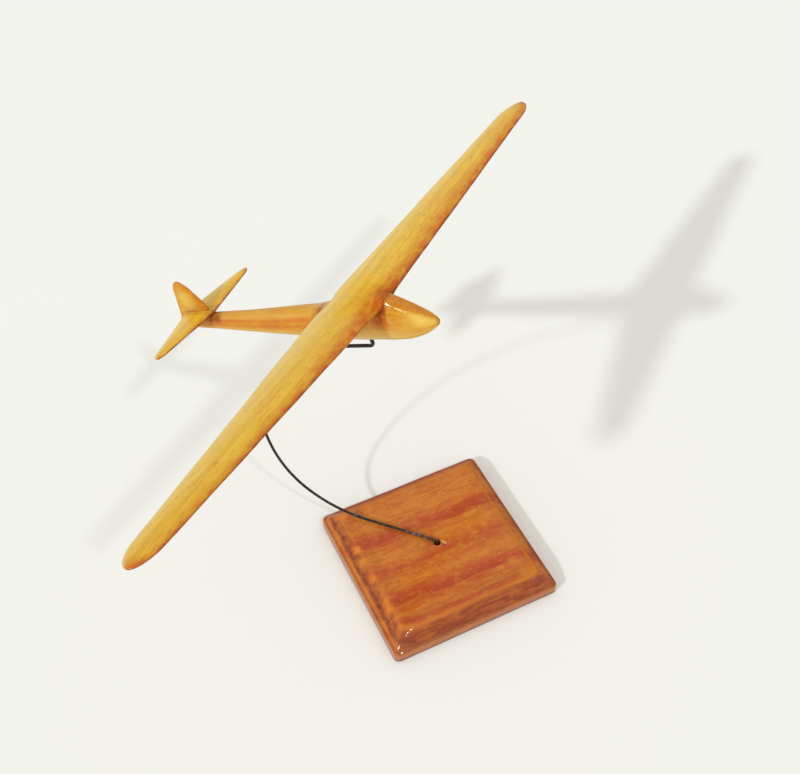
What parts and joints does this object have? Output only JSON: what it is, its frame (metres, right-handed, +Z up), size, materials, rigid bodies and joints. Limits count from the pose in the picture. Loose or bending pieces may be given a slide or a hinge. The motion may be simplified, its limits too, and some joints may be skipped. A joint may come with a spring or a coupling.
{
  "type": "model glider on stand",
  "caption": "Hand-carved wooden model glider, nose up on a curved steel wire that rises from a square bevelled wooden plinth; it turns on the wire's pin.",
  "frame": {"origin": "centre of the plinth's underside, where the part rests on a table", "axes": "+Z up, +X the way the glider heads, +Y along its span to port"},
  "size_m": [0.2194, 0.3453, 0.209],
  "materials": {
    "plinth_wood": "reddish brown wood under gloss lacquer",
    "steel_wire": "dark drawn steel wire",
    "fuselage_wood": "golden orange wood under gloss varnish",
    "wing_wood": "golden yellow wood under gloss varnish",
    "tail_wood": "golden wood under gloss varnish",
    "fin_wood": "orange golden wood under gloss varnish"
  },
  "bodies": {
    "stand": {"base_block": "plinth_wood", "stand_wire": "steel_wire"},
    "glider": {"fuselage": "fuselage_wood", "wing": "wing_wood", "tailplane": "tail_wood", "fin": "fin_wood"}
  },
  "joints": [
    {"name": "glider_swivel", "type": "hinge", "parent": "stand", "child": "glider", "pos_m": [-0.03602, -0.00366, 0.16855], "axis": [-0.4108, 0.0576, 0.9099], "continuous": true}
  ]
}
